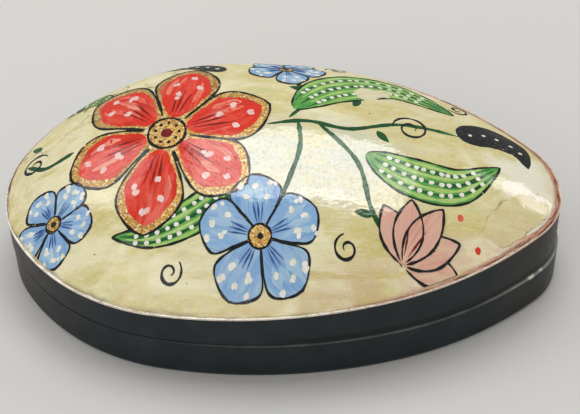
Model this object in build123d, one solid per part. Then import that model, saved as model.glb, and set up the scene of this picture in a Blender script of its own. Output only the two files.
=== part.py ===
from build123d import *
import math
import os

# All sizes in mm. X runs along the box, Y to the back, Z up, with the origin
# on the underside, in the middle of the outline.

# Outline from above: nine arcs that run on from each other anticlockwise.
# Each has a radius and the heading (degrees from +X) at which it ends.
first_heading = -12.0
front_radius, front_end = 118.0, 14.0
front_right_radius, front_right_end = 84.5, 40.0
tip_front_radius, tip_front_end = 16.0, 90.0
tip_back_radius, tip_back_end = 22.0, 128.0
back_right_radius, back_right_end = 92.5, 150.0
back_end = 190.0
back_left_radius, back_left_end = 52.5, 240.0
left_end = 300.0
front_left_radius = 50.0

# base
wall_thickness = 3.0
wall_height = 10.5
wall_reach = 0.1
foot_rise = 1.1
foot_inset = 0.5
seam_bevel = 0.25
floor_thickness = 2.4
floor_rebate = 1.4

# inner strips
strip_thickness = 1.2
lip_height = 1.8
lip_clearance = 0.3
lip_bevel = 0.35
strip_gap = 0.4

# lid band, cut off on top by a plane that rises to the right and to the back
seam_gap = 0.2
band_inset = 0.1
lid_shift = -0.4
rim_height = 21.4
rim_rise_x = 0.0389
rim_rise_y = 0.0472

# shell valve
shell_edge = 0.5
shell_rise = 17.0
shell_crown = 2.0
shell_edge_width = 2.2
crown_x = -17.0
crown_y = 8.0
dome_power = 2.2
grid_step = 6.0
grid_margin = 5.0

# hinge on the back wall
hinge_width = 24.0
hinge_height = 7.0
leaf_thickness = 0.8
seat_depth = 0.9
seat_clearance = 0.1
knuckle_radius = 1.3
knuckle_count = 3
knuckle_gap = 0.15
knuckle_clearance = 0.3
pin_radius = 0.6
pin_clearance = 0.05
pin_overhang = 0.3
nail_radius = 0.55
nail_depth = 1.6
nail_head_radius = 1.0
nail_head_height = 0.35
nail_spacing = 15.0


def heading(angle):
    """Unit vector from an arc's centre to the point where the outline heads along angle."""
    return Vector(math.sin(math.radians(angle)), -math.cos(math.radians(angle)))


def closed_radii():
    """Radii of all nine arcs; the back and left ones follow from closing the outline."""
    ends = [front_end, front_right_end, tip_front_end, tip_back_end, back_right_end,
            back_end, back_left_end, left_end, 360.0 + first_heading]
    starts = [first_heading] + ends[:-1]
    radii = [front_radius, front_right_radius, tip_front_radius, tip_back_radius,
             back_right_radius, 0.0, back_left_radius, 0.0, front_left_radius]
    chords = [heading(b) - heading(a) for a, b in zip(starts, ends)]
    open_x = -sum(r * c.X for r, c in zip(radii, chords))
    open_y = -sum(r * c.Y for r, c in zip(radii, chords))
    back, left = chords[5], chords[7]
    area = back.X * left.Y - back.Y * left.X
    radii[5] = (open_x * left.Y - open_y * left.X) / area
    radii[7] = (back.X * open_y - back.Y * open_x) / area
    return starts, ends, radii


def outline_arcs():
    """Centre, radius and headings of each arc, placed with the outline around the origin."""
    starts, ends, radii = closed_radii()
    centres = [Vector(0, 0)]
    for k in range(len(radii) - 1):
        centres.append(centres[k] + heading(ends[k]) * (radii[k] - radii[k + 1]))
    right = centres[2].X + radii[2]
    left = centres[7].X - radii[7]
    back = centres[5].Y + radii[5]
    front = centres[0].Y - radii[0]
    middle = Vector((right + left) / 2, (back + front) / 2)
    return [(c - middle, r, a, b) for c, r, a, b in zip(centres, radii, starts, ends)]


arcs = outline_arcs()
back_centre, back_radius = arcs[5][0], arcs[5][1]
back_y = back_centre.Y + back_radius
hinge_x = back_centre.X


def outline(offset, shift=0.0):
    """Face inside the outline, grown by offset and moved along X by shift."""
    edges = [
        CenterArc((c.X + shift, c.Y), r + offset, a - 90, b - a)
        for c, r, a, b in arcs
    ]
    return Face(Wire(edges))


def slab(offset, low, high, shift=0.0):
    return Pos(0, 0, low) * extrude(outline(offset, shift), high - low)


def ring(outer, inner, low, high):
    return slab(outer, low, high) - slab(inner, low, high)


def rim_z(x, y):
    return rim_height + rim_rise_x * x + rim_rise_y * y


def rim_side(side):
    """Everything below (side -1) or above (side 1) the lid band's slanting top."""
    size = 4 * back_y
    top = Plane(origin=(0, 0, rim_height), z_dir=(-rim_rise_x, -rim_rise_y, 1))
    return top * Pos(0, 0, side * size / 2) * Box(size, size, size)


def reach(angle, offset):
    """Distance from the crown to the offset outline along an angle in radians."""
    along = Vector(math.cos(angle), math.sin(angle))
    for centre, radius, start, end in arcs:
        to_centre = centre + Vector(lid_shift - crown_x, -crown_y)
        across = to_centre.dot(along)
        square = across**2 - to_centre.dot(to_centre) + (radius + offset)**2
        if square < 0:
            continue
        distance = across + math.sqrt(square)
        out = along * distance - to_centre
        turn = math.degrees(math.atan2(out.Y, out.X)) + 90
        if (turn - start) % 360 <= end - start:
            return distance
    raise ValueError("the crown lies outside the outline")


def dome(height, edge, offset):
    """Surface that falls from the crown to edge above the rim plane at the offset outline."""
    half_x = (arcs[2][0].X + arcs[2][1]) + grid_margin
    half_y = back_y + grid_margin
    count_x = round(2 * half_x / grid_step)
    count_y = round(2 * half_y / grid_step)
    rows = []
    for i in range(count_x + 1):
        x = -half_x + 2 * half_x * i / count_x
        row = []
        for j in range(count_y + 1):
            y = -half_y + 2 * half_y * j / count_y
            away = math.hypot(x - crown_x, y - crown_y)
            spread = away / reach(math.atan2(y - crown_y, x - crown_x), offset)
            row.append(Vector(x, y, rim_z(x, y) + edge + height * (1 - spread**dome_power)))
        rows.append(row)
    return Face.make_surface_from_array_of_points(rows, tol=0.001, min_deg=3, max_deg=3)


def shell_valve():
    high = rim_height + shell_rise * 2
    outside = dome(shell_rise, shell_edge, 0.0)
    inside = dome(shell_rise + shell_edge - shell_crown, 0.0, -shell_edge_width)
    body = slab(0.0, 0.0, high, lid_shift)
    body = body - Solid.extrude(outside, Vector(0, 0, high))
    body = body - Solid.extrude(inside, Vector(0, 0, -high))
    return body - rim_side(-1)


seat_y = back_y - seat_depth
axis_y = seat_y + knuckle_clearance + knuckle_radius
axis_z = wall_height + seam_gap / 2


def block(x_low, x_high, y_low, y_high, z_low, z_high):
    size = (x_high - x_low, y_high - y_low, z_high - z_low)
    middle = ((x_low + x_high) / 2, (y_low + y_high) / 2, (z_low + z_high) / 2)
    return Pos(*middle) * Box(*size)


def hinge_seat():
    """Room for both leaves and the knuckles, cut flat into the curved back."""
    half = hinge_width / 2 + seat_clearance
    reach_z = hinge_height + seat_clearance
    return block(hinge_x - half, hinge_x + half, seat_y, seat_y + 4 * knuckle_radius,
                 axis_z - reach_z, axis_z + reach_z)


def rod(radius, x_low, x_high):
    """Cylinder along the hinge axis."""
    middle = (x_low + x_high) / 2
    return Pos(middle, axis_y, axis_z) * Rot(0, 90, 0) * Cylinder(radius, x_high - x_low)


def knuckle_spans(own):
    """Start and end along X of the leaf's own knuckles, 0 for the base, 1 for the lid."""
    pitch = hinge_width / knuckle_count
    left = hinge_x - hinge_width / 2
    half_gap = knuckle_gap / 2
    return [(left + k * pitch + half_gap, left + (k + 1) * pitch - half_gap)
            for k in range(own, knuckle_count, 2)]


def nail_centres(side):
    z = axis_z + side * (hinge_height + knuckle_radius) / 2
    return [(hinge_x + s * nail_spacing / 2, z) for s in (-1, 1)]


def nail(x, z):
    """Flat-headed nail that goes through the leaf into the wall, head to the back."""
    face_y = seat_y + leaf_thickness
    shank = Cylinder(nail_radius, nail_depth + leaf_thickness,
                     align=(Align.CENTER, Align.CENTER, Align.MAX))
    head = Cylinder(nail_head_radius, nail_head_height,
                    align=(Align.CENTER, Align.CENTER, Align.MIN))
    return Pos(x, face_y, z) * Rot(-90, 0, 0) * (shank + head)


def nail_holes(side):
    depth = nail_depth + leaf_thickness
    holes = [
        Pos(x, seat_y + leaf_thickness - depth / 2, z) * Rot(90, 0, 0) * Cylinder(nail_radius, depth)
        for x, z in nail_centres(side)
    ]
    return holes[0] + holes[1]


def leaf(side):
    """One leaf with its knuckles; side is -1 for the base and 1 for the lid."""
    own = knuckle_spans(0 if side < 0 else 1)
    other = knuckle_spans(1 if side < 0 else 0)
    half = hinge_width / 2
    ends = sorted((axis_z, axis_z + side * hinge_height))
    plate = block(hinge_x - half, hinge_x + half, seat_y, seat_y + leaf_thickness, *ends)
    notch = knuckle_radius + knuckle_clearance
    for low, high in other:
        plate = plate - block(low - knuckle_gap, high + knuckle_gap, seat_y - leaf_thickness,
                              seat_y + 2 * leaf_thickness, axis_z - notch, axis_z + notch)
    bore = pin_radius if side < 0 else pin_radius + pin_clearance
    for low, high in own:
        plate = plate + rod(knuckle_radius, low, high)
    plate = plate - rod(bore, hinge_x - hinge_width, hinge_x + hinge_width)
    return plate - nail_holes(side)


def hinge_pin():
    half = hinge_width / 2 + pin_overhang
    return rod(pin_radius, hinge_x - half, hinge_x + half)


def base_wall():
    wall = slab(wall_reach, 0.0, wall_height)
    under = wall.faces().sort_by(Axis.Z)[0]
    wall = chamfer(under.edges(), foot_inset, foot_rise, reference=under)
    top = wall.faces().sort_by(Axis.Z)[-1].edges()
    wall = chamfer(top, seam_bevel)
    wall = wall - slab(-wall_thickness, 0.0, wall_height)
    wall = wall - slab(floor_rebate - wall_thickness, 0.0, floor_thickness)
    return wall - hinge_seat() - nail_holes(-1)


def base_floor():
    return slab(floor_rebate - wall_thickness, 0.0, floor_thickness)


def base_lip():
    """Strip inside the base that stands up past the seam and keeps the lid in place."""
    inner = -wall_thickness - strip_thickness
    top = wall_height + lip_height
    low = slab(-wall_thickness, floor_thickness, wall_height)
    guide = slab(-wall_thickness - lip_clearance, wall_height, top)
    edge = guide.faces().sort_by(Axis.Z)[-1].edges()
    guide = chamfer(edge, lip_bevel)
    return low + guide - slab(inner, floor_thickness, top)


def lid_band():
    high = rim_height * 2
    low = wall_height + seam_gap
    band = slab(-band_inset, low, high, lid_shift)
    under = band.faces().sort_by(Axis.Z)[0].edges()
    band = chamfer(under, seam_bevel) - slab(-wall_thickness, low, high)
    return band - rim_side(1) - hinge_seat() - nail_holes(1)


def lid_strip():
    low = wall_height + lip_height + strip_gap
    strip = ring(-wall_thickness, -wall_thickness - strip_thickness, low, rim_height * 2)
    return strip - rim_side(1)


def nails(side):
    return [nail(x, z) for x, z in nail_centres(side)]


parts = {
    "base_wall": base_wall(),
    "base_floor": base_floor(),
    "base_lip": base_lip(),
    "lid_band": lid_band(),
    "lid_strip": lid_strip(),
    "shell_valve": shell_valve(),
    "hinge_leaf_base": leaf(-1),
    "hinge_leaf_lid": leaf(1),
    "hinge_pin": hinge_pin(),
    "base_leaf_nails": Compound(children=nails(-1)),
    "lid_leaf_nails": Compound(children=nails(1)),
}

os.makedirs("parts", exist_ok=True)
for name, shape in parts.items():
    export_step(shape, f"parts/{name}.step")
    box = shape.bounding_box()
    print(name, round(shape.volume, 1), [round(v, 2) for v in (*box.min, *box.max)])
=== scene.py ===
from math import cos, pi, prod, radians, sin, tan
from random import choice, seed, uniform

import bpy
import numpy as np
from mathutils import Matrix, Vector
from mathutils.geometry import delaunay_2d_cdt


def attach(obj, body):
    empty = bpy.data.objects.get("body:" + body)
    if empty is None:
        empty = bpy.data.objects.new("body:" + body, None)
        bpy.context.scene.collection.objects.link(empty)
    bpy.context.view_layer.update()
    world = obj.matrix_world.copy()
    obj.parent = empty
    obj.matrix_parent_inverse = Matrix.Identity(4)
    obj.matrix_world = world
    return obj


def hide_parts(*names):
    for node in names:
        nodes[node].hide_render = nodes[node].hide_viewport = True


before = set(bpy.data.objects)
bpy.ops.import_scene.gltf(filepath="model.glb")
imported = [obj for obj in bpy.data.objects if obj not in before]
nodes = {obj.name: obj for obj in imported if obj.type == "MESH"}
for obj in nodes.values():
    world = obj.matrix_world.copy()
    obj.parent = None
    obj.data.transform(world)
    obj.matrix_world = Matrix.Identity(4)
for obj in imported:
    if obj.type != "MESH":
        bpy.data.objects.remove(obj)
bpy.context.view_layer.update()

seed(7)
mm = 0.001
print("frame loaded,", len(nodes), "nodes")


# Helpers for materials

# sRGB hex to linear RGBA
def colour(hexCode):
    parts = [int(hexCode[i:i + 2], 16) / 255 for i in (1, 3, 5)]
    return [c / 12.92 if c < 0.04045 else ((c + 0.055) / 1.055) ** 2.4 for c in parts] + [1]


canvas = {"tree": None}  # the node tree that addNode adds to


# Gives a node's inputs their values, and links those that come from another node
def setInputs(node, inputs):
    for key, value in inputs.items():
        if isinstance(value, bpy.types.NodeSocket):
            canvas["tree"].links.new(value, node.inputs[key])
        else:
            node.inputs[key].default_value = value


# Adds a node and gives one of its outputs; inputs go by name or in their order, and stops are
# the places and colours along a colour ramp
def addNode(kind, inputs=(), output=0, stops=(), **settings):
    made = canvas["tree"].nodes.new("ShaderNode" + kind)
    for key, value in settings.items():
        setattr(made, key, value)
    setInputs(made, inputs if isinstance(inputs, dict) else dict(enumerate(inputs)))
    for k, (spot, shade) in enumerate(stops):
        elements = made.color_ramp.elements
        element = elements[k] if k < len(elements) else elements.new(1)
        element.position = spot
        element.color = colour(shade)
    return made.outputs[output]


# A new material and its shader
def newMaterial(name):
    material = bpy.data.materials.new(name)
    material.use_nodes = True
    canvas["tree"] = material.node_tree
    return material, material.node_tree.nodes["Principled BSDF"]


# Mottling with lumps about sizeMm across, drawn out along the axes by stretch
def mottle(sizeMm, detail=4, stretch=(1, 1, 1), rough=0.5, warp=0, turn=0, where=None):
    spot = addNode("Mapping", {
        "Vector": where or addNode("TexCoord", output="Object"),
        "Scale": [1 / s for s in stretch], "Rotation": (0, 0, radians(turn))})
    return addNode("TexNoise", {
        "Vector": spot, "Scale": 1 / (sizeMm * mm), "Detail": detail,
        "Roughness": rough, "Distortion": warp}, "Fac")


# Grains about sizeMm apart: the distance from the middle of each, and a value of its own
def grains(sizeMm):
    place = addNode("TexCoord", output="Object")
    cells = {"Vector": place, "Scale": 1 / (sizeMm * mm)}
    own = addNode("SeparateColor", (addNode("TexVoronoi", cells, "Color"),))
    return addNode("TexVoronoi", cells, "Distance"), own


# Multiplies shares. A share is a number, an output, or an output with the values where the
# share starts and is full, smooth between, and how strong it then is
def overlap(*shares):
    total = None
    for share in shares:
        if isinstance(share, tuple):
            value, start, full, *strength = share
            share = addNode("MapRange", (value, start, full, 0, *(strength or [1])),
                            interpolation_type="SMOOTHSTEP")
        if total is None:
            total = share
        else:
            total = addNode("Math", (total, share), operation="MULTIPLY")
    return total


# Lays tones over each other, each where its shares overlap; a tone is a name in the piece's
# dictionary, a hex value or an output
def layered(piece, base, *layers):
    tones = [colour(piece.get(tone, tone)) if isinstance(tone, str) else tone
             for tone in (base, *(layer[0] for layer in layers))]
    base = tones[0]
    for tone, layer in zip(tones[1:], layers):
        base = addNode("Mix", {0: overlap(*layer[1:]), 6: base, 7: tone}, 2, data_type="RGBA")
    return base


# A distance that mottling makes wander, by half of size each way
def ragged(distance, mottling, size):
    wander = overlap(addNode("Math", (mottling, 0.5), operation="SUBTRACT"), size)
    return addNode("Math", (distance, wander), operation="ADD")


# The shell's form, in mm, as the solids have it

shellForm = {
    "firstHeading": -12,
    "arcs": [(118, 14), (84.5, 40), (16, 90), (22, 128), (92.5, 150),
             (None, 190), (52.5, 240), (None, 300), (50, 348)],  # radius, end heading
    "shift": -0.4,  # the lid sits this far to the left
    "rimHeight": 21.4,
    "rimRise": (0.0389, 0.0472),
    "edge": 0.5,
    "rise": 17,
    "crown": (-17, 8),
    "power": 2.2,  # 2 would be a paraboloid; above it the dome is fuller
    "seatWidth": 2.2,
    "crownThickness": 2,
    "ledgeSlope": 0.23,  # of the bevel ground along the cut edge
    "edgeSlant": 0.8,  # a line from the crown meets the edge at a slant
    "ringSwell": 0.05,  # slow waves left by growth and polishing
    "lumpSwell": 0.09,
    "swellEnds": 0.12,  # they die away over this share of the way from the edge
    "bulges": [((-36, 23), 13, 0.5), ((-18, 25), 11, 0.4), ((22, 21), 11, 0.45),
               ((3, 30), 9, -0.45)],  # place, reach and height; the last is a hollow
}
crown = np.array(shellForm["crown"], float)


def outward(angle):
    return np.array([sin(radians(angle)), -cos(radians(angle))])


# Tangent arcs as (centre, radius, start, end); two radii follow from closing the curve
def closeOutline(form):
    ends = [end for radius, end in form["arcs"]]
    starts = [form["firstHeading"]] + ends[:-1]
    radii = [radius or 0 for radius, end in form["arcs"]]
    chords = [outward(b) - outward(a) for a, b in zip(starts, ends)]
    free = [k for k, (radius, end) in enumerate(form["arcs"]) if radius is None]
    rest = -sum(r * c for r, c in zip(radii, chords))
    solved = np.linalg.solve(np.array([chords[k] for k in free]).T, rest)
    for k, radius in zip(free, solved):
        radii[k] = radius
    centres = [np.zeros(2)]
    for k in range(len(radii) - 1):
        centres.append(centres[k] + outward(ends[k]) * (radii[k] - radii[k + 1]))
    # the arcs that reach farthest to each side
    right = centres[2][0] + radii[2]
    left = centres[7][0] - radii[7]
    back = centres[5][1] + radii[5]
    front = centres[0][1] - radii[0]
    middle = np.array([(right + left) / 2, (back + front) / 2])
    return [(c - middle, r, a, b) for c, r, a, b in zip(centres, radii, starts, ends)]


arcs = closeOutline(shellForm)


# Distance from the crown to the outline along each angle in radians
def reach(angle, offset=0):
    angle = np.asarray(angle, float)
    along = np.stack([np.cos(angle), np.sin(angle)], -1)
    found = np.zeros(angle.shape)
    for centre, radius, start, end in arcs:
        toCentre = centre + np.array([shellForm["shift"], 0]) - crown
        across = along @ toCentre
        square = across**2 - toCentre @ toCentre + (radius + offset)**2
        distance = across + np.sqrt(np.maximum(square, 0))
        out = along * distance[..., None] - toCentre
        turn = np.degrees(np.arctan2(out[..., 1], out[..., 0])) + 90
        here = (square > 0) & ((turn - start) % 360 <= end - start)
        found = np.where(here, distance, found)
    return found


# Bearing from the crown in radians
def bearing(x, y):
    return np.arctan2(np.asarray(y, float) - crown[1], np.asarray(x, float) - crown[0])


def bearingDegrees(x, y):
    return np.degrees(bearing(x, y)) % 360


# 0 at the crown, 1 at the outline
def spread(x, y, offset=0):
    away = np.hypot(np.asarray(x, float) - crown[0], np.asarray(y, float) - crown[1])
    return away / reach(bearing(x, y), offset)


def rimHeight(x, y):
    riseX, riseY = shellForm["rimRise"]
    return shellForm["rimHeight"] + riseX * x + riseY * y


def swell(x, y, far):
    rings = np.sin(23 * far**1.4 + 1.3 * np.sin(2 * bearing(x, y) + 0.6)) * np.clip(far * 1.5, 0, 1)
    lumps = np.sin(0.11 * x + 0.05 * y + 0.7) * np.sin(0.13 * y - 0.04 * x)
    fade = np.clip((1 - far) / shellForm["swellEnds"], 0, 1)
    bulges = sum(high * np.exp(-(((x - px) ** 2 + (y - py) ** 2) / wide**2))
                 for (px, py), wide, high in shellForm["bulges"])
    return (shellForm["ringSwell"] * rings + shellForm["lumpSwell"] * lumps + bulges) * fade


def shellHeight(x, y):
    far = spread(x, y)
    dome = shellForm["edge"] + shellForm["rise"] * (1 - far**shellForm["power"])
    return rimHeight(x, y) + dome + swell(x, y, far)


# width of the bright bevel along the cut edge, in mm at bearings from the crown in degrees
bevelWidth = [(0, 0.3), (10, 0.4), (40, 0.45), (60, 0.38), (90, 0.25), (120, 0.16),
              (160, 0.1), (185, 0.16), (205, 0.32), (235, 0.28), (262, 0.22), (290, 0.18),
              (315, 0.16), (345, 0.2), (360, 0.3)]
# width of the hollow rise from the bevel to the dome; the margin flares at the back right
flareWidth = [(0, 0.8), (10, 1.6), (25, 3.2), (40, 3), (60, 0.16), (340, 0.16), (360, 0.8)]
bevelUneven = 0.16
bevelWaves = [(23, 1, 0), (61, 0.8, 1), (97, 0.7, 2)]  # waves per turn, strength, phase


def atBearing(table, degrees):
    return np.interp(degrees, *zip(*table))


# Uneven width of the bevel; the waves are what hand grinding leaves
def bevelAt(x, y):
    degrees = bearingDegrees(x, y)
    turn = np.radians(degrees)
    waves = sum(high * np.sin(count * turn + phase) for count, high, phase in bevelWaves)
    return atBearing(bevelWidth, degrees) * (1 + bevelUneven * waves)


# Distance to the cut edge, square to it
def edgeDistance(x, y):
    return reach(bearing(x, y)) * (1 - spread(x, y)) * shellForm["edgeSlant"]


# The dome with the bevel ground along its edge
def groundHeight(x, y):
    inside, width = edgeDistance(x, y), bevelAt(x, y)
    ledge = rimHeight(x, y) + shellForm["edge"] + shellForm["ledgeSlope"] * (inside - width)
    rise = np.clip((inside - width) / atBearing(flareWidth, bearingDegrees(x, y)), 0, 1)
    return ledge + (shellHeight(x, y) - ledge) * rise * rise * (3 - 2 * rise)


def insideHeight(x, y):
    far = spread(x, y, -shellForm["seatWidth"])
    high = shellForm["rise"] + shellForm["edge"] - shellForm["crownThickness"]
    return rimHeight(x, y) + high * (1 - far**shellForm["power"])


# Camera, where the photograph was taken from

cameraSet = {
    "tilt": 45,  # degrees below level
    "distance": 395.2,  # mm
    "target": (1.73, 13.44, 0),
    "roll": -1.24,
    "lens": 97.93,  # mm on a 36 mm wide frame
}


def addObject(name, data):
    made = bpy.data.objects.new(name, data)
    bpy.context.collection.objects.link(made)
    return made


# Rotation that points a camera or a light along a direction, rolled in degrees
def pointed(way, roll):
    turn = way.to_track_quat("-Z", "Y").to_matrix().to_4x4()
    return (turn @ Matrix.Rotation(radians(roll), 4, "Z")).to_euler()


def buildCamera():
    data = bpy.data.cameras.new("photoCamera")
    data.lens = cameraSet["lens"]
    data.sensor_width = 36
    data.clip_start = 0.01
    camera = addObject("photoCamera", data)
    tilt = radians(cameraSet["tilt"])
    back = Vector((0, -cos(tilt), sin(tilt)))
    camera.location = (Vector(cameraSet["target"]) + back * cameraSet["distance"]) * mm
    camera.rotation_euler = pointed(-back, cameraSet["roll"])
    bpy.context.scene.camera = camera


# Light: a large soft box above and a little behind with a bright near edge, smaller ones behind
# at the left and right, a wide weak one at the front left, and pale surroundings

lightSet = {
    "surroundings": 0.33,  # strength of the light from all round
    "room": "#fbfaf8",
    "floor": "#e0deda",
    "floorHalf": 8,  # m from the middle to each side
    "aimHeight": 20,  # mm over the floor, where the soft boxes point
}
# degrees above level, degrees to the right of straight behind, roll, distance and size in m, watts
softBoxes = {"softBox": (72.6, 11.6, 12, 0.7, (0.42, 0.366), 1.8),
             "softEdge": (85.1, 58.8, 58.6, 0.734, (0.42, 0.035), 0.22),
             "softLeft": (48, -65, 0, 0.8, (0.36, 0.3), 0.79),
             "softRight": (41, 61, 0, 0.8, (0.24, 0.16), 0.38),
             "softFill": (36, -145, 0, 1.6, (1.4, 1.4), 5.7)}


def buildLight():
    world = bpy.data.worlds.new("studio")
    bpy.context.scene.world = world
    world.use_nodes = True
    canvas["tree"] = world.node_tree
    setInputs(world.node_tree.nodes["Background"], {
        "Color": colour(lightSet["room"]), "Strength": lightSet["surroundings"]})

    for name, (high, side, roll, distance, size, watts) in softBoxes.items():
        data = bpy.data.lights.new(name, "AREA")
        data.shape = "RECTANGLE"
        data.size, data.size_y = size
        data.energy = watts
        box = addObject(name, data)
        height, turn = radians(high), radians(side)
        level = cos(height)
        way = Vector((sin(turn) * level, cos(turn) * level, sin(height)))
        box.location = way * distance + Vector((0, 0, lightSet["aimHeight"] * mm))
        box.rotation_euler = pointed(-way, roll)


def buildFloor():
    half = lightSet["floorHalf"]
    data = bpy.data.meshes.new("floor")
    corners = [(-half, -half, 0), (half, -half, 0), (half, half, 0), (-half, half, 0)]
    data.from_pydata(corners, [], [(0, 1, 2, 3)])
    floor = addObject("floor", data)
    material, shader = newMaterial("matteStudioPaper")
    setInputs(shader, {"Base Color": colour(lightSet["floor"]), "Roughness": 0.9})
    floor.data.materials.append(material)


# Nacre under clear lacquer: milky cream with yellow clouds and silky streaks, a horny
# brown rim where the outer skin was left, hair cracks and a spot where the lacquer wore off

# painted highlights in the nacre: a greyish white patch on the crown, and in part the milky tip and
# left flank
nacre = {
    "cream": "#e3d693",
    "milk": "#f8f0c6",
    "honey": "#d3be69",
    "green": "#ced699",
    "pink": "#ebd8b2",
    "vein": "#fcf8e4",
    # painted highlight: greyish white laid in where the soft box's reflection falls on the crown
    "highlightWhite": "#d2d7cd",
    "horn": "#7f3e29",
    "hornOlive": "#5a3d22",
    "hornPale": "#dba78c",
    "bare": "#dfd194",
    "bareLine": "#7d6a3c",
    "crack": "#54452f",
    "wash": "#dfae9c",
    # the ground bevel's white; duller patches break it, so that the bright places between are painted
    # glints
    "edge": "#fbf6ea",
    "edgeBrown": "#debba1",
    "edgeDullBetweenGlints": "#bb9d86",
    "tan": "#dbc183",
    # dirt and painted shade, in the line just inside the bevel
    "dirtAndShade": "#54432f",
    "underPaint": "#ebe2bd",  # where paint has come off
    "insidePlay": [(0.3, "#edd2ca"), (0.45, "#f1f0e6"), (0.58, "#d2e4dc"), (0.72, "#e3d3e8")],
    "insideSilk": "#fbf8ee",
    "cutLayers": [(0.34, "#7f6449"), (0.42, "#d3bc98"), (0.5, "#fbf7ec"), (0.62, "#e3c8b2")],
    "roughness": 0.24,
    "specularLevel": 0.05,  # little is left of it under the lacquer
    "lacquerDulled": 0.95,  # share of the gloss that is gone at low angles
    "lacquerRoughness": 0.04,
    "lacquerIOR": 1.85,  # high, because the nacre's own layers reflect too
    "paintIOR": 1.55,  # of the lacquer over paint
}
# the figure in the nacre: size of its mottling in mm, detail, stretch, roughness, warp, turn;
# then tones, the mottling where each starts and is full, and its strength
nacreFigure = {
    "clouds": ((18, 6, (1.7, 1, 1), 0.6, 1, 8), [("milk", 0.43, 0.62, 0.95)]),
    "bands": ((9, 6, (4.5, 0.9, 1), 0.6, 1.3, -6), [("honey", 0.49, 0.72, 0.75)]),
    "play": ((10, 4, (2, 1, 1), 0.55, 1.6), [("green", 0.54, 0.7, 0.55), ("pink", 0.45, 0.3, 0.45)]),
    "silk": ((1.5, 6, (4.5, 0.7, 1), 0.68, 0.5, 14),
             [("milk", 0.52, 0.7, 0.6), ("honey", 0.46, 0.28, 0.42)]),
}


# Clear lacquer over nacre and paint: brushed on, so that reflections wave at their edges, with
# fine pits and dust, and duller at low angles; worn is how much of it is gone
def lacquerCoat(shader, coatIOR, worn=0):
    pits = overlap((mottle(0.55, 4, rough=0.75), 0.46, 0.66, 0.8))
    facing = addNode("LayerWeight", output="Facing")
    low = overlap((facing, 0.45, 0.82, nacre["lacquerDulled"]))
    left = [addNode("Math", (1, gone), operation="SUBTRACT") for gone in (pits, worn, low)]
    waves = {"Height": mottle(7, 6, (1.4, 1, 1), 0.55), "Strength": 0.35, "Distance": 0.5 * mm}
    setInputs(shader, {
        "Coat Weight": overlap(*left), "Coat Roughness": nacre["lacquerRoughness"],
        "Coat IOR": coatIOR, "Coat Normal": addNode("Bump", waves)})


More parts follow.
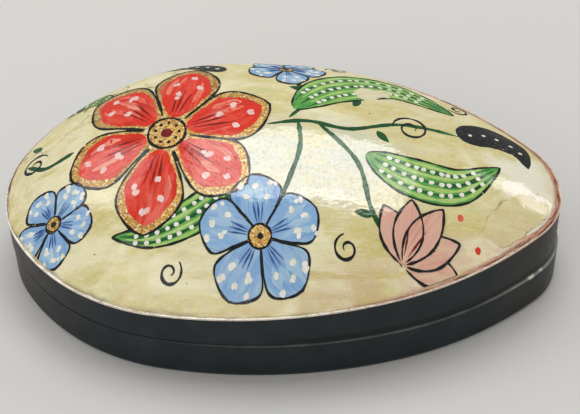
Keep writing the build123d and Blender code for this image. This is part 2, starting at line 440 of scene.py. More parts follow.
def nacreFront():
    material, shader = newMaterial("nacrePolishedAndLacquered")
    field = {}
    for name in ("edgeDistance", "hornDepth", "shadeAndSoil", "bevel", "bareDepth", *nacreZones, *nacrePatches):
        field[name] = addNode("Attribute", output="Fac", attribute_name=name)
    edge, horn = field["edgeDistance"], field["hornDepth"]
    place = addNode("TexCoord", output="Object")
    x, y = (addNode("SeparateXYZ", (place,), axis) for axis in "XY")

    base = "cream"
    figure = {}
    for part, (mottling, tones) in nacreFigure.items():
        figure[part] = mottle(*mottling)
        for tone, *rise in tones:
            base = layered(nacre, base, (tone, (figure[part], *rise)))
    marble = addNode("Math", (mottle(7, 6, (1.8, 1, 1), 0.62, 2.2), 0.5), operation="SUBTRACT")
    marble = addNode("Math", (marble,), operation="ABSOLUTE")
    fibres = mottle(0.9, 2, (8, 0.36, 1), 0.5, 1, 21)  # pale hairlines, drawn twice as wide
    base = layered(nacre, base, ("vein", (marble, 0.06, 0, 0.16)), ("vein", (fibres, 0.665, 0.73, 0.6)))
    # whiter at the tip and the left flank: milky nacre, and partly a painted highlight
    clouded = overlap(mottle(5, 6, (2.4, 0.9, 1), 0.65, 1.2, 12), 1.6)
    for zone, tone in (("tipMilkAndHighlight", "vein"), ("flankMilkAndHighlight", "milk")):
        milky = addNode("Math", (field[zone], clouded), operation="ADD")
        base = layered(nacre, base, (tone, (milky, 1.2, 1.66, 0.85)))
    # painted highlight: the nacre greyer and whiter on the crown, where the soft box's reflection falls
    hazy = (mottle(6, 6, (2.2, 1, 1), 0.65, 1, 10), 0.3, 0.6)
    base = layered(nacre, base, ("highlightWhite", field["highlightWhitening"], hazy))

    # where the lacquer wore off: mottled, with a broken line round it
    bare = ragged(field["bareDepth"], mottle(3.4, 4), 3.6)
    away = addNode("Math", (bare,), operation="ABSOLUTE")
    spots = (mottle(2.6, 5, (2, 1, 1), 0.65), 0.42, 0.64, 0.45)
    broken = overlap((mottle(3.5, 3), 0.4, 0.56, 0.85), (x, 43 * mm, 50 * mm))
    base = layered(nacre, base, (layered(nacre, "bare", ("milk", spots)), (bare, -0.15, 0.4, 0.92)),
                   ("bareLine", (away, 0.3, 0.04), broken))

    # specks of grit, a worn pink wash, hair cracks and a tanned margin
    middle, chosen = grains(4.2)
    few = addNode("Math", (chosen, 0.8), operation="GREATER_THAN")
    patchy = (mottle(4, 5, (1.5, 1, 1), 0.6), 0.32, 0.62)
    wander = addNode("TexNoise", {"Vector": place, "Scale": 1 / (7 * mm), "Detail": 4}, "Color")
    warped = addNode("VectorMath", (wander, (14 * mm,) * 3, place), operation="MULTIPLY_ADD")
    cells = {"Vector": warped, "Scale": 1 / (12.5 * mm)}
    web = addNode("TexVoronoi", cells, "Distance", feature="DISTANCE_TO_EDGE")
    here = overlap(field["crackZone"], (mottle(5, 3), 0.47, 0.53), 0.8)
    base = layered(nacre, base, ("crack", (middle, 0.075, 0.035, 0.7), few),
                   ("wash", field["pinkWash"], patchy, 0.62), ("crack", (web, 0.028, 0.008), here),
                   ("tan", (edge, 4.5, 0.3, 0.7), (mottle(6, 5), 0.44, 0.62)))

    # growth lines follow the rim: the distance to it is stretched far more than the place along it
    rimPlace = addNode("CombineXYZ", (overlap(edge, 14 * mm), y, x))
    lines = mottle(4, 5, (1, 1, 1), 0.55, 0.4, where=rimPlace)
    brown = layered(nacre, "horn", ("hornOlive", (mottle(11, 2), 0.46, 0.58)),
                    ("hornPale", (lines, 0.44, 0.62)))
    horny = overlap((ragged(horn, lines, 2), -0.5, 0.35, 0.96))

    # the polished bevel along the cut edge, and a darker line just inside it of dirt and painted shade
    chipped = ragged(edge, mottle(5, 2), 0.4)
    brim = addNode("Math", (chipped, field["bevel"]), operation="SUBTRACT")
    # the darker line inside the bevel: dirt, and painted shade where the bevel meets the dome
    grimeAndShade = overlap((mottle(7, 3), 0.36, 0.56), (mottle(6, 5, where=rimPlace), 0.36, 0.6))
    shadedAndSoiled = addNode("Math", (overlap((brim, 0.8, 0.06)), overlap(field["shadeAndSoil"], grimeAndShade)),
                     operation="MULTIPLY", use_clamp=True)
    browned = (overlap(horn, mottle(3, 4)), 0, 0.9)
    # painted glints: duller patches across the bevel's white leave bright places between them
    dull = (mottle(1.3, 4, rough=0.65), 0.5, 0.62, 0.75)
    bright = layered(nacre, "edge", ("edgeBrown", browned), ("edgeDullBetweenGlints", dull))
    base = layered(nacre, base, (brown, horny), ("dirtAndShade", shadedAndSoiled), (bright, (brim, 0.1, -0.08, 0.95)))

    silky = overlap(figure["silk"], 0.07)
    relief = addNode("Math", (mottle(14, 3, (2, 1, 1)), silky), operation="ADD")
    setInputs(shader, {
        "Base Color": base, "Roughness": nacre["roughness"], "IOR": 1.55,
        "Specular IOR Level": nacre["specularLevel"],
        "Normal": addNode("Bump", {"Height": relief, "Strength": 0.35, "Distance": 0.6 * mm})})
    lacquerCoat(shader, nacre["lacquerIOR"], horny)
    return material


# The shell's natural inner side: bluish white with a faint rosy and green play
def nacreInside():
    material, shader = newMaterial("nacreNaturalInside")
    play = mottle(16, 4, (2, 1, 1), 0.5, 1)
    base = addNode("ValToRGB", (play,), stops=nacre["insidePlay"])
    silk = mottle(2.2, 5, (4, 0.8, 1), 0.6, 0.6, 14)
    base = layered(nacre, base, ("insideSilk", (silk, 0.48, 0.7, 0.6)))
    folds = {"Height": mottle(5, 4, (3, 1, 1)), "Strength": 0.2, "Distance": 0.4 * mm}
    setInputs(shader, {
        "Base Color": base, "Roughness": 0.28, "IOR": 1.6, "Normal": addNode("Bump", folds)})
    return material


# The ground edge: bone white layers with brown between them
def shellCut():
    material, shader = newMaterial("nacreGroundEdge")
    layers = mottle(2.4, 5, (1, 1, 0.12), 0.62)
    base = addNode("ValToRGB", (layers,), stops=nacre["cutLayers"])
    horn = addNode("Attribute", output="Fac", attribute_name="hornDepth")
    base = layered(nacre, base, ("edgeBrown", (overlap(horn, mottle(3, 4)), -0.1, 0.9)))
    setInputs(shader, {"Base Color": base, "Roughness": 0.35, "IOR": 1.55})
    return material


shellMesh = {
    "turns": 660, "rings": 98, "insideRings": 24,
    "crowding": 0.9,  # below 1 the rings stand closer towards the edge
    "rimRings": (1, 0.86, 0.75, 0.66, 0.58, 0.5, 0.42, 0.34, 0.26, 0.18, 0.09, 0),  # mm from it
}
# spot where the lacquer wore off, mm seen from above
barePatch = [(45.8, -18.2), (49.6, -14.4), (53, -12), (57.2, -10.8), (60, -13.2), (60.3, -15.8),
             (58.4, -18.4), (55.2, -20), (52.4, -22.6), (48.6, -24.9), (45, -23)]
# width of the brown rim in mm at bearings from the crown in degrees
hornWidth = [(0, 1.5), (20, 1.8), (35, 2.4), (60, 2.6), (80, 1.5), (105, 0.3), (130, 0.3),
             (160, 0.7), (185, 0.6), (205, -0.1), (250, -0.6), (290, -0.3), (315, 0.4), (335, 1),
             (360, 1.5)]
# how dark the line inside the bevel is along the rim: dirt and painted shade
shadeAndSoilAmount = [(0, 0.8), (12, 3), (45, 3.4), (70, 1.8), (95, 0.9), (120, 0.5), (155, 1.4),
              (190, 1.7), (208, 0.8), (235, 0.45), (300, 0.3), (340, 0.2), (360, 0.8)]
# tinted zones: along x, y or the distance to the edge, from none to full, in mm
nacreZones = {
    "pinkWash": [("x", -2, 23), ("x", 60, 42), ("edge", 11, 2), ("y", -4, -4.001)],
    # the milky tip is partly a painted highlight
    "tipMilkAndHighlight": [("x", 38, 56), ("y", 5, -3)],
    "crackZone": [("x", -12, -30), ("y", 4, 14)],
}
# tinted patches: place, reach along x and y in mm, strength, and how sharply they end; the greyish
# white one on the crown is a painted highlight
# the milky left flank is partly a painted highlight
nacrePatches = {"flankMilkAndHighlight": ((-50, -6), (16, 11), 0.85, 1), "highlightWhitening": ((6, -8), (24, 12), 0.75, 2)}


# Distance to the polygon's edge, positive inside
def polygonDepth(points, corners):
    best = np.full(len(points), 1e9)
    inside = np.zeros(len(points), bool)
    ring = [np.array(c) for c in corners]
    for a, b in zip(ring, ring[1:] + ring[:1]):
        edge = b - a
        t = np.clip(((points - a) @ edge) / (edge @ edge), 0, 1)
        best = np.minimum(best, np.linalg.norm(points - a - t[:, None] * edge, axis=1))
        crosses = (a[1] > points[:, 1]) != (b[1] > points[:, 1])
        side = a[0] + (points[:, 1] - a[1]) / (edge[1] or 1e-9) * edge[0]
        inside ^= crosses & (points[:, 0] < side)
    return np.where(inside, best, -best)


def addField(data, name, values, kind="FLOAT"):
    layer = data.attributes.new(name, kind, "POINT")
    values = np.ascontiguousarray(values, np.float32)
    layer.data.foreach_set("vector" if kind == "FLOAT_VECTOR" else "value", values.ravel())


def makePiece(name, pointsMm, faces, materials, slots=None, sharp=40):
    data = bpy.data.meshes.new(name)
    data.from_pydata((np.asarray(pointsMm) * mm).tolist(), [], faces)
    for material in materials:
        data.materials.append(material)
    if slots:
        data.polygons.foreach_set("material_index", slots)
    data.polygons.foreach_set("use_smooth", [True] * len(faces))
    data.set_sharp_from_angle(angle=radians(sharp))
    piece = addObject(name, data)
    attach(piece, "lid")
    return piece


def buildShell():
    turns = shellMesh["turns"]
    angles = np.linspace(0, 2 * pi, turns, endpoint=False)
    along = np.stack([np.cos(angles), np.sin(angles)], 1)
    far = reach(angles)
    outer = along * far[:, None]
    inner = along * reach(angles, -shellForm["seatWidth"])[:, None]
    rim = shellMesh["rimRings"]
    parts = np.linspace(0, 1, shellMesh["rings"] + 1)[1:-1] ** shellMesh["crowding"]
    radii = [(far - rim[0]) * part for part in parts]
    radii += [far - inside for inside in rim]
    loops = []

    def addLoop(flat, height):
        x, y = (crown + flat).T
        loops.append(np.column_stack([x, y, height(x, y)]))

    for radius in radii:
        addLoop(along * radius[:, None], groundHeight)
    for flat in (outer, inner):
        addLoop(flat, rimHeight)
    for part in np.linspace(1, 0, shellMesh["insideRings"] + 1)[1:-1]:
        addLoop(inner * part, insideHeight)
    top = [[*crown, float(shellHeight(*crown))]]
    under = [[*crown, float(insideHeight(*crown))]]
    table = np.concatenate([top, *loops, under])
    faces = [(0, 1 + k, 1 + (k + 1) % turns) for k in range(turns)]
    slots = [0] * turns
    for ring in range(len(loops) - 1):
        first = 1 + ring * turns
        for k in range(turns):
            after = (k + 1) % turns
            faces.append((first + k, first + turns + k, first + turns + after, first + after))
        slots += [0 if ring < len(radii) - 1 else 1 if ring < len(radii) + 1 else 2] * turns
    last = 1 + (len(loops) - 1) * turns
    faces += [(len(table) - 1, last + (k + 1) % turns, last + k) for k in range(turns)]
    slots += [2] * turns
    materials = (nacreFront(), shellCut(), nacreInside())
    shell = makePiece("polishedShell", table, faces, materials, slots)
    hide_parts("shell_valve")

    x, y = table[:, 0], table[:, 1]
    edge, degrees = edgeDistance(x, y), bearingDegrees(x, y)
    fields = {"edgeDistance": edge, "hornDepth": atBearing(hornWidth, degrees) - edge,
              "shadeAndSoil": atBearing(shadeAndSoilAmount, degrees), "bevel": bevelAt(x, y),
              "bareDepth": polygonDepth(table[:, :2], barePatch)}
    measures = {"x": x, "y": y, "edge": edge}
    for name, slopes in nacreZones.items():
        fields[name] = prod(np.clip((measures[along] - none) / (full - none), 0, 1)
                            for along, none, full in slopes)
    for name, ((px, py), (wide, deep), strength, power) in nacrePatches.items():
        away = ((x - px) / wide) ** 2 + ((y - py) / deep) ** 2
        fields[name] = strength * np.exp(-(away**power))
    for name, values in fields.items():
        addField(shell.data, name, values)


# Painted decoration: thin coats of lacquer paint laid on the dome with a brush

paintBox = {
    "red": ("#e43520", "#f27362", "#bf2014", 0.03),  # main, worn thin, pooled, how much has chipped
    "scarlet": ("#ee4a33", "#f8907a", "#dc3222", 0.03),
    "maroon": ("#7e1611", "#9c2a20", "#5c0e0c", 0.03),
    "coral": ("#f3806a", "#f9aa96", "#e25c48", 0.03),
    "blue": ("#8eb6e0", "#b3cfe0", "#729bcf", 0.04),
    "skyBlue": ("#a9cae3", "#c2d9e0", "#94b9dc", 0.04),
    "deepBlue": ("#34528f", "#5374ad", "#253c6c", 0.03),
    "green": ("#52a448", "#94c464", "#277638", 0.04),
    "lime": ("#acd070", "#cfe29a", "#7cae50", 0.04),
    "deepGreen": ("#17532a", "#2a7038", "#0e351b", 0.03),
    "blush": ("#e4b39e", "#ead0a8", "#d6917f", 0.03),
    "black": ("#121416", "#262a2a", "#090a0b", 0.13),
    "white": ("#f4f0e2", "#fdfbf3", "#dddac2", 0),
    "rose": ("#f6cfc8", "#fbe9e4", "#eda79c", 0),
}
# how high each coat lies over the shell, in mm
coatLift = {"stem": 0.018, "fill": 0.032, "stripe": 0.046, "stroke": 0.058, "line": 0.072, "dab": 0.086}
plates = {
    "upper": 0.07,  # flowers lie this much higher than stems, leaves and buds, in mm
    "later": 0.0002,  # and each later stroke of a coat a little higher still,
    "laterMost": 60,  # up to this many
    "sunk": 0.03,  # and its underside this much below the shell's surface
    "grid": 1.5,  # mm between points inside a painted area
    "clear": 0.3,  # they keep this share of it from the outline
    "nearest": 0.02,  # mm, points of an outline closer than this are one
    "farthest": 0.985,  # paint ends at this share of the way from crown to edge
}
fullTurn = 6.28  # radians, near enough for brush marks


# Brushed lacquer paint: streaks run along each stroke, pools are darker, and tiny chips
# let the nacre through
def paintMaterial(name):
    main, thin, pooled, chipping = paintBox[name]
    material, shader = newMaterial(name + "LacquerPaintBrushed")
    brush = addNode("Attribute", output="Vector", attribute_name="brush")
    patches = mottle(6, 5, (1, 2.4, 1), 0.6, 0.7, where=brush)
    runs = mottle(1.6, 3, (1, 8, 1), 0.55, 0.3, where=brush)
    hairs = mottle(0.5, 4, (1, 16, 1), 0.6, where=brush)
    weak = overlap((mottle(8, 3), 0.46, 0.66, chipping))
    flaked = addNode("Math", (mottle(0.8, 6, rough=0.75), weak), operation="ADD")
    worn = addNode("Attribute", output="Fac", attribute_name="wornDepth")
    torn = ragged(worn, mottle(1.8, 5, rough=0.7), 3.4)
    bald = addNode("Math", (overlap((flaked, 0.735, 0.755)), overlap((torn, -0.1, 0.12))),
                   operation="MAXIMUM")
    base = layered(nacre, main, (thin, (patches, 0.46, 0.68, 0.9)), (pooled, (runs, 0.5, 0.68, 0.6)),
                   (pooled, (hairs, 0.52, 0.72, 0.5)), (thin, (hairs, 0.44, 0.3, 0.45)),
                   ("underPaint", bald))
    setInputs(shader, {
        "Base Color": base, "Roughness": 0.4, "Specular IOR Level": nacre["specularLevel"],
        "Normal": addNode("Bump", {"Height": hairs, "Strength": 0.15, "Distance": 0.05 * mm})})
    lacquerCoat(shader, nacre["paintIOR"])
    return material


glitter = {
    "grain": 0.35,  # mm; the real grains are 0.2 mm, too fine to show
    "tones": [(0, "#8a5f26"), (0.3, "#b98434"), (0.62, "#d9a544"), (0.85, "#e8bf62"),
              (0.96, "#f8e8b0")],
    "thin": "#d6b779",  # where the grains lie apart
    "metallic": 0.35,
    "roughness": 0.4,
}


# Gold glitter in varnish
def goldMaterial():
    material, shader = newMaterial("goldGlitterInVarnish")
    middle, pick = grains(glitter["grain"])
    base = addNode("ValToRGB", (pick,), stops=glitter["tones"])
    base = layered(glitter, base, ("thin", (mottle(3, 5), 0.5, 0.7, 0.6)))
    setInputs(shader, {
        "Base Color": base, "Metallic": glitter["metallic"], "Roughness": glitter["roughness"],
        "Normal": addNode("Bump", {"Height": middle, "Strength": 0.5, "Distance": 0.15 * mm})})
    lacquerCoat(shader, nacre["paintIOR"])
    return material


strokes = {name: [] for name in (*paintBox, "gold")}
laid = {coat: 0 for coat in coatLift}
ground = {"lift": 0}  # raised once the leaves are dry


# Catmull-Rom curve through the points
def smoothLine(points, count):
    knots = np.array([points[0], *points, points[-1]], float)
    line = []
    spans = len(points) - 1
    for t in np.linspace(0, spans, count):
        k = min(int(t), spans - 1)
        u = t - k
        a, b, c, d = knots[k:k + 4]
        line.append(0.5 * ((2 * b) + (c - a) * u + (2 * a - 5 * b + 4 * c - d) * u**2
                           + (3 * b - a - 3 * c + d) * u**3))
    return np.array(line)


# Length along a line at each of its points, and the direction to its left
def measure(line):
    run = np.gradient(line, axis=0)
    run /= np.linalg.norm(run, axis=1)[:, None] + 1e-9
    length = np.r_[0, np.cumsum(np.linalg.norm(np.diff(line, axis=0), axis=1))]
    return length, np.stack([-run[:, 1], run[:, 0]], 1)


# Closed outline of a stroke along the line; halfWidth gives mm for 0 to 1 along it
def ribbon(line, halfWidth, wobble=0):
    length, side = measure(line)
    half = np.array([halfWidth(s) for s in length / length[-1]])
    phases = [uniform(0, fullTurn) for _ in range(4)]
    loose = wobble * np.clip(half, 0, 1)
    waves = [np.sin(length * 1.1 + a) + 0.6 * np.sin(length * 2.7 + b)
             for a, b in (phases[:2], phases[2:])]
    left = line + side * (half + loose * waves[0])[:, None]
    right = line - side * (half + loose * waves[1])[:, None]
    return np.concatenate([left, right[::-1]])


def lay(name, outline, coat, spine=None):
    laid[coat] += 1
    lift = ground["lift"] + coatLift[coat] + plates["later"] * min(laid[coat], plates["laterMost"])
    strokes[name].append((np.asarray(outline, float), lift, spine))


# A shape along its middle line, in one coat
def fill(name, line, shape, wobble=0.06, coat="fill"):
    lay(name, ribbon(line, shape, wobble), coat, line)


# Brush line of a width in mm that swells and thins a little, and thins at both ends
def brushLine(line, width, name="black", coat="line", taper=0.12, wobble=0.05, loose=1):
    line = np.asarray(line, float)
    phase = uniform(0, fullTurn)
    waves = measure(line)[0][-1] / 7

    def half(s):
        swing = 0.26 * sin(phase + fullTurn * waves * s)
        swing += 0.12 * sin(5 * phase + 17 * waves * s)
        return width / 2 * (1 + loose * swing) * min(1, 0.25 + s / taper, 0.25 + (1 - s) / taper)

    fill(name, line, half, wobble, coat)


# Black brush line round a petal or leaf
def drawRound(line, shape, width, wobble=0.05, taper=0.02):
    brushLine(ribbon(line, shape)[1:-1], width, wobble=wobble, taper=taper)


# Half the width of a petal or leaf at each point of its middle line
def halvesOf(line, shape):
    return np.array([shape(s) for s in np.linspace(0, 1, len(line))])


# The middle line moved aside by a share of the half width
def aside(line, halves, share):
    return line + measure(line)[1] * (halves * share)[:, None]


# Irregular spot left by the tip of the brush
def dab(name, x, y, radius, squash=1, turn=0, coat="dab", corners=11):
    angle = np.linspace(0, 2 * pi, corners, endpoint=False)
    grow = np.array([1 + uniform(-0.16, 0.16) for _ in angle])
    px, py = np.cos(angle) * grow * radius, np.sin(angle) * grow * radius * squash
    co, si = cos(turn), sin(turn)
    lay(name, np.stack([x + co * px - si * py, y + si * px + co * py], 1), coat)


# Two or three touches of thick white set against each other
def dabs(name, x, y, size, turn):
    for k in range(choice((2, 2, 3))):
        away = size * 0.42 * k
        side = turn + uniform(0.8, 2.2) * k
        dab(name, x + away * cos(side), y + away * sin(side),
            size * uniform(0.42, 0.6), uniform(0.6, 0.9), turn + uniform(-0.4, 0.4))


# Rounded petal, or a leaf where blunt is near 1
def petal(width, blunt=0.75, power=0.62):
    return lambda s: width / 2 * max(sin(pi * min(max(s, 0), 1) ** blunt), 0) ** power


# Keeps a petal within its share of the circle, with rounded shoulders
def within(shape, near, far, petals):
    def half(s):
        limit = (near + (far - near) * s) * tan(pi / petals) * 0.97
        return (max(shape(s), 1e-3)**-5 + limit**-5) ** -0.2

    return half


# spots where wear has taken the paint down to the nacre: x, y and radius in mm
wornSpots = [(20.5, 15, 3), (24.5, 16.5, 1.8), (-46, 4, 1.2)]


# Thin closed plate over the outline that follows the dome, with places along the brush stroke
def plate(outline, lift, spine):
    gaps = np.linalg.norm(outline - np.roll(outline, 1, axis=0), axis=1)
    outline = outline[gaps > plates["nearest"]]
    pull = plates["farthest"] / np.maximum(spread(outline[:, 0], outline[:, 1]), 1e-6)
    outline = crown + (outline - crown) * np.minimum(1, pull)[:, None]
    step = plates["grid"]
    columns, rows = (np.arange(a, b, step) for a, b in zip(outline.min(0), outline.max(0)))
    grid = np.stack([values.ravel() for values in np.meshgrid(columns, rows)], 1)
    grid = grid[polygonDepth(grid, outline) > plates["clear"] * step]
    spots = [Vector(p) for p in np.concatenate([outline, grid])]
    flat, edges, faces = delaunay_2d_cdt(spots, [], [list(range(len(outline)))], 1, 1e-5)[:3]
    flat = np.array([tuple(v) for v in flat])
    base = groundHeight(flat[:, 0], flat[:, 1])
    count = len(flat)
    heights = (base + lift, base - plates["sunk"])
    points = np.concatenate([np.column_stack([flat, high]) for high in heights])
    sides = {(a, b) for face in faces for a, b in zip(face, list(face[1:]) + [face[0]])}
    closed = [list(f) for f in faces] + [[i + count for i in reversed(f)] for f in faces]
    closed += [[b, a, a + count, b + count] for a, b in sorted(sides) if (b, a) not in sides]
    if spine is None:
        brush = flat
    else:
        length, side = measure(spine)
        nearest = np.linalg.norm(flat[:, None] - spine[None], axis=2).argmin(1)
        across = ((flat - spine[nearest]) * side[nearest]).sum(1)
        brush = np.column_stack([across, length[nearest]])
    apart = np.full(count, uniform(0, 90))  # so that no two strokes show the same streaks
    brush = np.column_stack([brush, apart]) * mm
    return points, closed, np.concatenate([brush, brush])


def buildPaint():
    for name, shapes in strokes.items():
        points, faces, brushes, start = [], [], [], 0
        for outline, lift, spine in shapes:
            spots, closed, brush = plate(outline, lift, spine)
            points.append(spots)
            brushes.append(brush)
            faces += [[i + start for i in f] for f in closed]
            start += len(spots)
        if points:
            material = goldMaterial() if name == "gold" else paintMaterial(name)
            table = np.concatenate(points)
            piece = makePiece(name + "Paint", table, faces, [material], sharp=35)
            addField(piece.data, "brush", np.concatenate(brushes), "FLOAT_VECTOR")
            worn = [radius - np.hypot(table[:, 0] - x, table[:, 1] - y) for x, y, radius in wornSpots]
            addField(piece.data, "wornDepth", np.max(worn, axis=0))


def polar(centre, degrees, distance):
    angle = radians(degrees)
    x, y = cos(angle) * distance, sin(angle) * distance
    return np.array([centre[0] + x, centre[1] + y])


# Middle line of a petal, bent sideways by mm at its tip
def ray(centre, degrees, near, far, bend=0, count=34):
    start, end = polar(centre, degrees, near), polar(centre, degrees, far)
    side = polar((0, 0), degrees + 90, 1)
    parts = np.linspace(0, 1, count)
    return start + (end - start) * parts[:, None] + side * (bend * parts**2)[:, None]


# in mm and degrees; lanes are shares of the half width, and dots lie at a share of the petal's
# length and mm beside its middle
redFlower = {"centre": (-26, 1), "petals": 6, "near": 4.2, "far": 24.5, "width": 19,
             "turn": 14, "gold": 1.9, "lanes": (-0.62, -0.2, 0.3, 0.66), "veins": (-0.3, 0.05, 0.36),
             "dots": ((0.56, -3.2), (0.6, 3), (0.76, -0.4), (0.4, 1.2)), "dotSize": 1.45}


def paintRedFlower():
    f = redFlower
    centre, near, petals = f["centre"], f["near"], f["petals"]
    for k in range(petals):
        angle = f["turn"] + k * 360 / petals + uniform(-3, 3)
        far = f["far"] * uniform(0.94, 1.03)
        line = ray(centre, angle, near, far, 1.5)
        shape = within(petal(f["width"]), near, far, petals)
        fill("gold", line, shape)
        coreNear, coreFar = near + 0.4, far - f["gold"]
        core = ray(centre, angle, coreNear, coreFar, 1.3)
        heart = within(petal(f["width"] - 2 * f["gold"]), coreNear, coreFar, petals)
        inside = lambda s: max(heart(s) - 0.6 * f["gold"] * (1 - s), 0.05)
        fill("red", core, inside, 0.16, "stripe")
        drawRound(line, shape, 0.5, 0.06)
        halves = halvesOf(core, inside)
        for share in f["lanes"]:
            start, end = uniform(0.3, 0.42), uniform(0.74, 0.9)
            touch = aside(core, halves, share)[int(start * len(core)):int(end * len(core))]
            brushLine(touch, uniform(1, 1.7), choice(("scarlet", "scarlet", "coral")),
                      "stroke", 0.35, 0.12)
        for turn in f["veins"]:
            end = near + (far - near) * uniform(0.42, 0.58)
            brushLine(ray(centre, angle + turn * 22, near + 2, end), 0.45, "maroon", "line", 0.5)
        for out, beside in f["dots"]:
            spot = polar(polar(centre, angle, near + (far - near) * out), angle + 90, beside)
            dabs("rose", *spot, f["dotSize"], radians(angle) + uniform(-0.5, 0.5))
    dab("gold", *centre, 4.3, coat="line", corners=30)
    brushLine([polar(centre, a, 4.4) for a in range(0, 361, 8)], 0.55, taper=0.02)
    dab("maroon", *centre, 1.3)
    for k in range(9):
        dab("black", *polar(centre, 40 * k, 2.8), 0.42)


# centre, petals, length, width, turn in degrees
blueFlowers = [((-5, -25.5), 5, 13.8, 16.4, 20), ((-52, -15), 5, 9.5, 11, 50),
               ((1.5, 26), 5, 9.5, 11, -10)]
# dots as on the red flower, on a petal of this length in mm
blueDots = ((0.6, -2.4), (0.62, 2.3), (0.8, 0.2), (0.84, -3.4), (0.82, 3.6))
fullPetal = 14.5


def paintBlueFlower(centre, petals, size, width, turn):
    for k in range(petals):
        angle = turn + k * 360 / petals + uniform(-3, 3)
        line = ray(centre, angle, 1.4, size, 0.8)
        shape = within(petal(width, 0.62, 0.6), 1.4, size, petals)
        fill("blue", line, shape, 0.07)
        for side in (-15, -3, 11):
            start, end = size * uniform(0.45, 0.55), size * uniform(0.8, 0.92)
            touch = ray(centre, angle + side, start, end)
            brushLine(touch, uniform(0.09, 0.14) * size, "skyBlue", "stripe", 0.4, 0.12)
        drawRound(line, shape, 0.45)
        for side in (-9, 0, 9):
            vein = ray(centre, angle + side, size * 0.2, size * 0.52)
            brushLine(vein, 0.35, "deepBlue", taper=0.5)
        for out, beside in blueDots:
            spot = polar(polar(centre, angle, size * out), angle + 90, beside * size / fullPetal)
            dabs("white", *spot, 1.3 * (size / fullPetal) ** 0.6, radians(angle + 35))
    dab("gold", *centre, 2.6 * size / fullPetal, coat="line", corners=20)
    ring = [polar(centre, a, 2.7 * size / fullPetal) for a in range(0, 361, 12)]
    brushLine(ring, 0.4, taper=0.02)
    dab("black", *centre, 0.7)


# spine points and width
greenLeaves = [
    ([(3, 7), (13, 16), (27, 20), (41, 13)], 12.5),
    ([(19, -6), (29, -11), (40, -12), (50, -5)], 10),
    ([(-40, 19), (-46, 23), (-52, 22)], 5),
    ([(-8, -8), (-16, -18), (-28, -23), (-38, -22)], 8),
]
leafMarks = {"stripes": (-0.78, -0.3, 0.3, 0.78), "lines": (-0.54, 0, 0.54), "dotsApart": 3.2}


def paintLeaf(points, width):
    line = smoothLine(points, 60)
    shape = petal(width, 0.8, 0.8)
    halves = halvesOf(line, shape)
    fill("green", line, shape)
    for share in leafMarks["stripes"]:
        brushLine(aside(line, halves, share)[8:-8], width * 0.085, "lime", "stripe", 0.3)
    for share in leafMarks["lines"]:
        thick = 0.75 if share == 0 else 0.55
        brushLine(aside(line, halves, share)[5:-5], thick, "deepGreen", "line", 0.25)
    drawRound(line, shape, 0.45)
    spots = max(2, round(measure(line)[0][-1] / leafMarks["dotsApart"]))
    for share in leafMarks["lines"]:
        row = aside(line, halves, share)
        for k in np.linspace(10, len(line) - 13, spots).astype(int):
            dab("white", *row[k], min(0.62, width * 0.07), 0.85)


blackBuds = [([(41, 3), (48, 6), (55, 3), (57, -3)], 9), ([(-13, 23), (-21, 29), (-31, 31)], 5.5)]


def paintBud(points, width):
    line = smoothLine(points, 44)
    fill("black", line, petal(width, 0.6, 0.75))
    for k in range(7, len(line) - 8, 6):
        dab("white", *line[k], 0.5, 0.85)


# A half-open lily in a thin pink wash, drawn with black brush lines
lily = {"foot": (26, -31), "aim": 52, "petals": (-48, 44, -24, 22, 0), "length": 16,
        "width": 6.6, "overlap": 0.045}  # mm, each petal covers the lines of the one before


def paintLily():
    for turn in lily["petals"]:
        ground["lift"] += lily["overlap"]
        size = lily["length"] * (1 - abs(turn) / 220)
        line = ray(lily["foot"], lily["aim"] + turn, 0.5, size, turn * 0.05)
        shape = petal(lily["width"], 0.95, 0.8)
        fill("blush", line, shape, 0.08)
        drawRound(line, shape, 0.5, taper=0.05)
        brushLine(line[4:20], 0.4, "maroon", taper=0.5)
    ground["lift"] = plates["upper"]
    for turn in (-36, -12):
        dab("red", *polar(lily["foot"], lily["aim"] + turn, lily["length"] * 1.12), 0.7)


# centre, radius, turns, start in degrees, hand
curls = [((42.5, 17.5), 2.7, 1.4, 200, 1), ((30, 3), 4.4, 1.6, 180, -1), ((-58, 4), 3.4, 1.4, 20, 1),
         ((14, 31), 3, 1.3, 200, -1), ((14, -28), 3, 1.3, 100, 1), ((-25, -31), 2.8, 1.3, 40, -1)]
stems = [[(-3, 2), (6, 3), (16, 1), (28, 4), (41, 3)], [(2, 4), (6, 10), (4, 18), (1.5, 26)],
         [(4, 3), (4, -6), (-2, -22)], [(8, 3), (17, -8), (20, -20), (26, -31)],
         [(-48, 2), (-55, 1), (-60, 5)]]
sprigs = [((17, 9), 60), ((22, 1), -60), ((6, 14), 150), ((20, -21), 160), ((-57, 9), 120)]


# Curl that winds in from its outer end
def spiral(centre, radius, turns, start, hand):
    parts = np.linspace(0, 1, 60)
    angle = radians(start) + hand * parts * turns * 2 * pi
    out = radius * (1 - 0.8 * parts)
    return np.stack([centre[0] + np.cos(angle) * out, centre[1] + np.sin(angle) * out], 1)


def paintDecoration():
    for line in stems:
        brushLine(smoothLine(line, 50), 1.1, "deepGreen", "stem", wobble=0.04, loose=0.5)
    for centre, degrees in sprigs:
        fill("deepGreen", ray(centre, degrees, 0, 4.2, 0.6, 16), petal(1.9, 0.8, 0.9), 0, "stem")
    for points, width in greenLeaves:
        paintLeaf(points, width)
    for points, width in blackBuds:
        paintBud(points, width)
    for curl in curls:
        brushLine(spiral(*curl), 0.6, taper=0.2)
    ground["lift"] = plates["upper"]
    for flower in blueFlowers:
        paintBlueFlower(*flower)
    paintLily()
    paintRedFlower()


# Black lacquer over the turned body: near black, soft gloss, faint lines round the wall, browner
# at the ends, a painted highlight and rubbing along the seam's edges, and a painted shadow under the
# lid

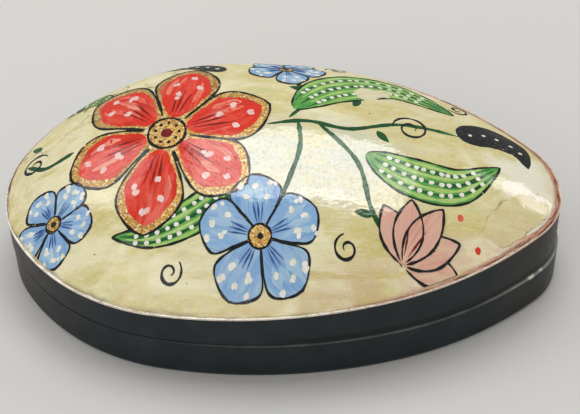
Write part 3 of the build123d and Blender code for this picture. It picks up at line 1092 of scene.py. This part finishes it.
lacquer = {
    "black": "#1c2529",
    "thin": "#262f33",
    "brown": "#352d28",  # at both ends, where handling has thinned it, and lighter there as painted light on the ends
    "shadeAndSoil": "#070a0b",  # along the lid's lower edge: painted shadow of the gap over the seam, with dirt
    "rubbedAndHighlight": "#bfc3b8",
    # near white: bare spots, and painted glints on the base's upper edge
    "glintAndBareSpot": "#fbf8ea",
    "roughness": 0.42,
    "arris": (10.24, 10.56),  # the base's upper edge in mm, painted as a thin bright highlight with some rubbing
    "highlightAndRubAlong": [(-40, 20, 0.45), (42, 53, 0.75)],  # grows from X to X by so much, mm
    "scuffed": [(10, 10.24, 0.62), (10.72, 10.95, 0.6)],  # from, to, how little of it, mm
    "glintAndBareBelt": (10.05, 10.62),  # heights that the bright specks keep to, bare spots that are also painted glints; each has a place and a radius
    "glintsAndBareSpots": [((56.6, -21, 10.4), 1), ((59, -18.9, 10.4), 0.7), ((49.3, -25.3, 10.4), 0.5)],
}


# Wear and painted light on the outer walls: ends browner and lighter, partly as painted light;
# a painted shadow with dirt along the lid's lower edge; a painted highlight with rubbing along
# the base's upper edge; and bright specks that are bare spots and painted glints
def wornWalls(base):
    where = addNode("TexCoord", output="Object")
    x, z = (addNode("SeparateXYZ", (where,), axis) for axis in "XZ")
    outwards = addNode("Math", (x,), operation="ABSOLUTE")
    # painted shadow with dirt along the lid's lower edge, from the middle to the right end
    onBand = addNode("Math", (z, 10.6 * mm), operation="GREATER_THAN")
    # browner and lighter at both ends: handling wear, and painted light on the ends
    base = layered(lacquer, base, ("brown", (outwards, 40 * mm, 60 * mm, 0.55)),
                   ("shadeAndSoil", (z, 12.8 * mm, 12.1 * mm, 0.7), onBand, (x, -8 * mm, 6 * mm)))
    rub = mottle(2.4, 6, rough=0.7)

    def belt(low, high):
        return overlap((z, (low - 0.05) * mm, low * mm), (z, (high + 0.05) * mm, high * mm))

    for low, high, amount in lacquer["scuffed"]:
        base = layered(lacquer, base, ("rubbedAndHighlight", belt(low, high), (rub, amount, amount + 0.14, 0.5)))
    along = addNode("Math", [overlap((x, start * mm, end * mm, gain))
                             for start, end, gain in lacquer["highlightAndRubAlong"]], operation="ADD")
    uneven = addNode("Math", (overlap(mottle(9, 4, rough=0.65), 1.1), -0.1), operation="ADD")
    # painted highlight along the base's upper edge, with rubbing, stronger towards the right
    base = layered(lacquer, base, ("rubbedAndHighlight", belt(*lacquer["arris"]), overlap(along, uneven)))
    glintAndBareBelt = belt(*lacquer["glintAndBareBelt"])
    # bright specks on the base's upper edge: bare spots and painted glints
    for spot, radius in lacquer["glintsAndBareSpots"]:
        away = addNode("VectorMath", (where, Vector(spot) * mm), "Value", operation="DISTANCE")
        torn = addNode("Math", (away, overlap(rub, 1.2 * mm)), operation="ADD")
        bald = (torn, (radius + 0.8) * mm, (radius + 0.4) * mm)
        base = layered(lacquer, base, ("glintAndBareSpot", bald, glintAndBareBelt))
    return base


def lacquerMaterial(name, worn):
    material, shader = newMaterial(name)
    scratches = (mottle(0.4, 2, (50, 50, 0.8)), 0.68, 0.75, 0.22)
    base = layered(lacquer, "black", ("thin", (mottle(9, 4), 0.35, 0.75)),
                   ("rubbedAndHighlight", scratches, (mottle(14, 2), 0.5, 0.62)))
    if worn:
        base = wornWalls(base)
    cloudy = overlap(mottle(4, 5), 0.16)
    haze = addNode("Math", (cloudy, lacquer["roughness"] - 0.08), operation="ADD")
    grooves = {"Height": mottle(0.7, 3, (40, 40, 0.6)), "Strength": 0.25, "Distance": 0.12 * mm}
    setInputs(shader, {
        "Base Color": base, "Roughness": haze, "Specular IOR Level": 0.22,
        "Normal": addNode("Bump", grooves)})
    return material


brass = {
    "stain": [(0.3, "#7d6234"), (0.5, "#b08d4c"), (0.7, "#c9a864")],
    "roughness": (0.22, 0.52),  # bright, dull
}


# Rolled brass sheet and wire, dulled: brown stains in patches, paler and rougher between them
def brassMaterial():
    material, shader = newMaterial("brassRolledAndDulled")
    stain = mottle(2.5, 5)
    base = addNode("ValToRGB", (stain,), stops=brass["stain"])
    bright, dull = brass["roughness"]
    haze = addNode("Math", (overlap(stain, dull - bright), bright), operation="ADD")
    rolled = {"Height": mottle(0.5, 3, (8, 1, 1)), "Strength": 0.2, "Distance": 0.1 * mm}
    setInputs(shader, {
        "Base Color": base, "Roughness": haze, "Metallic": 1, "Normal": addNode("Bump", rolled)})
    return material


def dress(names, material):
    for name in names:
        slots = nodes[name].data.materials
        if not slots:
            slots.append(material)
        for k in range(len(slots)):
            slots[k] = material


buildCamera()
buildLight()
buildFloor()
print("camera, light and floor set")
buildShell()
print("shell built")
paintDecoration()
buildPaint()
print("decoration painted,", sum(len(s) for s in strokes.values()), "strokes")
dress(("base_wall", "lid_band"), lacquerMaterial("blackLacquerWornAndPaintedLight", True))
dress(("base_floor", "base_lip", "lid_strip"), lacquerMaterial("blackLacquerInside", False))
dress(("hinge_leaf_base", "hinge_leaf_lid", "hinge_pin", "base_leaf_nails", "lid_leaf_nails"),
      brassMaterial())
print("materials on")

bpy.context.scene.view_settings.view_transform = "Standard"
